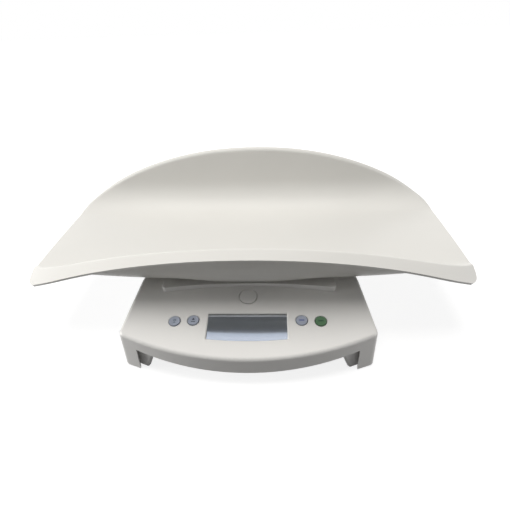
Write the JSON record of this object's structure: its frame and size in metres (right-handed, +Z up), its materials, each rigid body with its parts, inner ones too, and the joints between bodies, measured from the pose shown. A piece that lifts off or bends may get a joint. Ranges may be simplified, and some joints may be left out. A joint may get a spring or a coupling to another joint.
{
  "type": "digital baby weighing scale",
  "caption": "Baby weighing scale: a base with a sloped display panel, keys and a release button, feet on load cells, and a curved lift-off tray.",
  "frame": {"origin": "on the floor, under the middle of the whole scale", "axes": "+X to the user's right along the tray, +Y from the display panel towards the tray's back wall, +Z up"},
  "size_m": [0.5578, 0.3199, 0.1793],
  "materials": {
    "housing": "satin moulded white",
    "housing_lower": "satin moulded white, a little greyer",
    "tray": "semi-gloss moulded white",
    "key_grey": "satin grey-blue with printed marks",
    "key_green": "satin green with a printed mark",
    "button": "satin moulded white",
    "window": "clear glossy window",
    "lcd": "grey-green reflective display glass",
    "inner_plastic": "grey moulded",
    "contact_rubber": "striped contact rubber",
    "board": "green solder mask",
    "components": "black moulded",
    "sockets": "ivory moulded",
    "silicone": "translucent grey silicone",
    "screw_steel": "zinc plated",
    "spring_steel": "drawn spring wire",
    "cell_steel": "stamped steel",
    "pad_rubber": "matt black",
    "cell_wrap": "plain dark sleeve",
    "contact_metal": "nickel plated",
    "lead": "grey sheath"
  },
  "bodies": {
    "base": {"upper_housing": "housing", "lower_housing": "housing_lower", "housing_screws": "screw_steel", "display_window": "window", "lcd_glass": "lcd", "lcd_holder": "inner_plastic", "lcd_contact_strips": "contact_rubber", "main_board": "board", "board_components": "components", "board_sockets": "sockets", "board_screws": "screw_steel", "key_mats": "silicone", "latch_spring": "spring_steel", "latch_bracket": "inner_plastic", "bracket_screws": "screw_steel", "latch_clip": "spring_steel", "load_cell_screws": "screw_steel", "foot_screws": "screw_steel", "battery_cells": "cell_wrap", "battery_contacts": "contact_metal", "battery_springs": "contact_metal", "sensor_leads": "lead", "battery_leads": "lead", "load_cell_front_left": "cell_steel", "foot_front_left": "housing_lower", "foot_pad_front_left": "pad_rubber", "load_cell_front_right": "cell_steel", "foot_front_right": "housing_lower", "foot_pad_front_right": "pad_rubber", "load_cell_rear_left": "cell_steel", "foot_rear_left": "housing_lower", "foot_pad_rear_left": "pad_rubber", "load_cell_rear_right": "cell_steel", "foot_rear_right": "housing_lower", "foot_pad_rear_right": "pad_rubber"},
    "tray": {"tray_shell": "tray", "tray_frame": "housing_lower", "tray_pads": "pad_rubber", "tray_screws": "screw_steel", "catch_post": "inner_plastic"},
    "unit_key": {"unit_key": "key_grey"},
    "tare_key": {"tare_key": "key_grey"},
    "hold_key": {"hold_key": "key_grey"},
    "start_key": {"start_key": "key_green"},
    "release_button": {"release_button": "button"},
    "latch": {"latch_slider": "inner_plastic"},
    "battery_door": {"battery_cover": "housing_lower"}
  },
  "joints": [
    {"name": "unit_key_press", "type": "slide", "parent": "base", "child": "unit_key", "axis": [0, 0.2807, -0.9598], "range_m": [0, 0.0009], "stiffness_N_per_m": 1500, "springref_m": -0.0003, "deforming": ["key_mats"]},
    {"name": "tare_key_press", "type": "slide", "parent": "base", "child": "tare_key", "axis": [0, 0.2807, -0.9598], "range_m": [0, 0.0009], "stiffness_N_per_m": 1500, "springref_m": -0.0003, "deforming": ["key_mats"]},
    {"name": "hold_key_press", "type": "slide", "parent": "base", "child": "hold_key", "axis": [0, 0.2807, -0.9598], "range_m": [0, 0.0009], "stiffness_N_per_m": 1500, "springref_m": -0.0003, "deforming": ["key_mats"]},
    {"name": "start_key_press", "type": "slide", "parent": "base", "child": "start_key", "axis": [0, 0.2807, -0.9598], "range_m": [0, 0.0009], "stiffness_N_per_m": 1500, "springref_m": -0.0003, "deforming": ["key_mats"]},
    {"name": "release_press", "type": "slide", "parent": "base", "child": "release_button", "axis": [0, 0.2807, -0.9598], "range_m": [0, 0.0035], "stiffness_N_per_m": 600, "springref_m": -0.002},
    {"name": "latch_slide", "type": "slide", "parent": "base", "child": "latch", "axis": [0, 1, 0], "range_m": [0, 0.0044], "deforming": ["latch_spring", "latch_clip"]},
    {"name": "tray_lift", "type": "slide", "parent": "base", "child": "tray", "axis": [0, 0, 1], "range_m": [0, 0.06], "deforming": ["latch_clip"]},
    {"name": "battery_cover_slide", "type": "slide", "parent": "base", "child": "battery_door", "axis": [0, 1, 0], "range_m": [0, 0.062]}
  ],
  "couplings": [
    {"joint": "latch_slide", "follows": "release_press", "ratio": 1.2405}
  ]
}
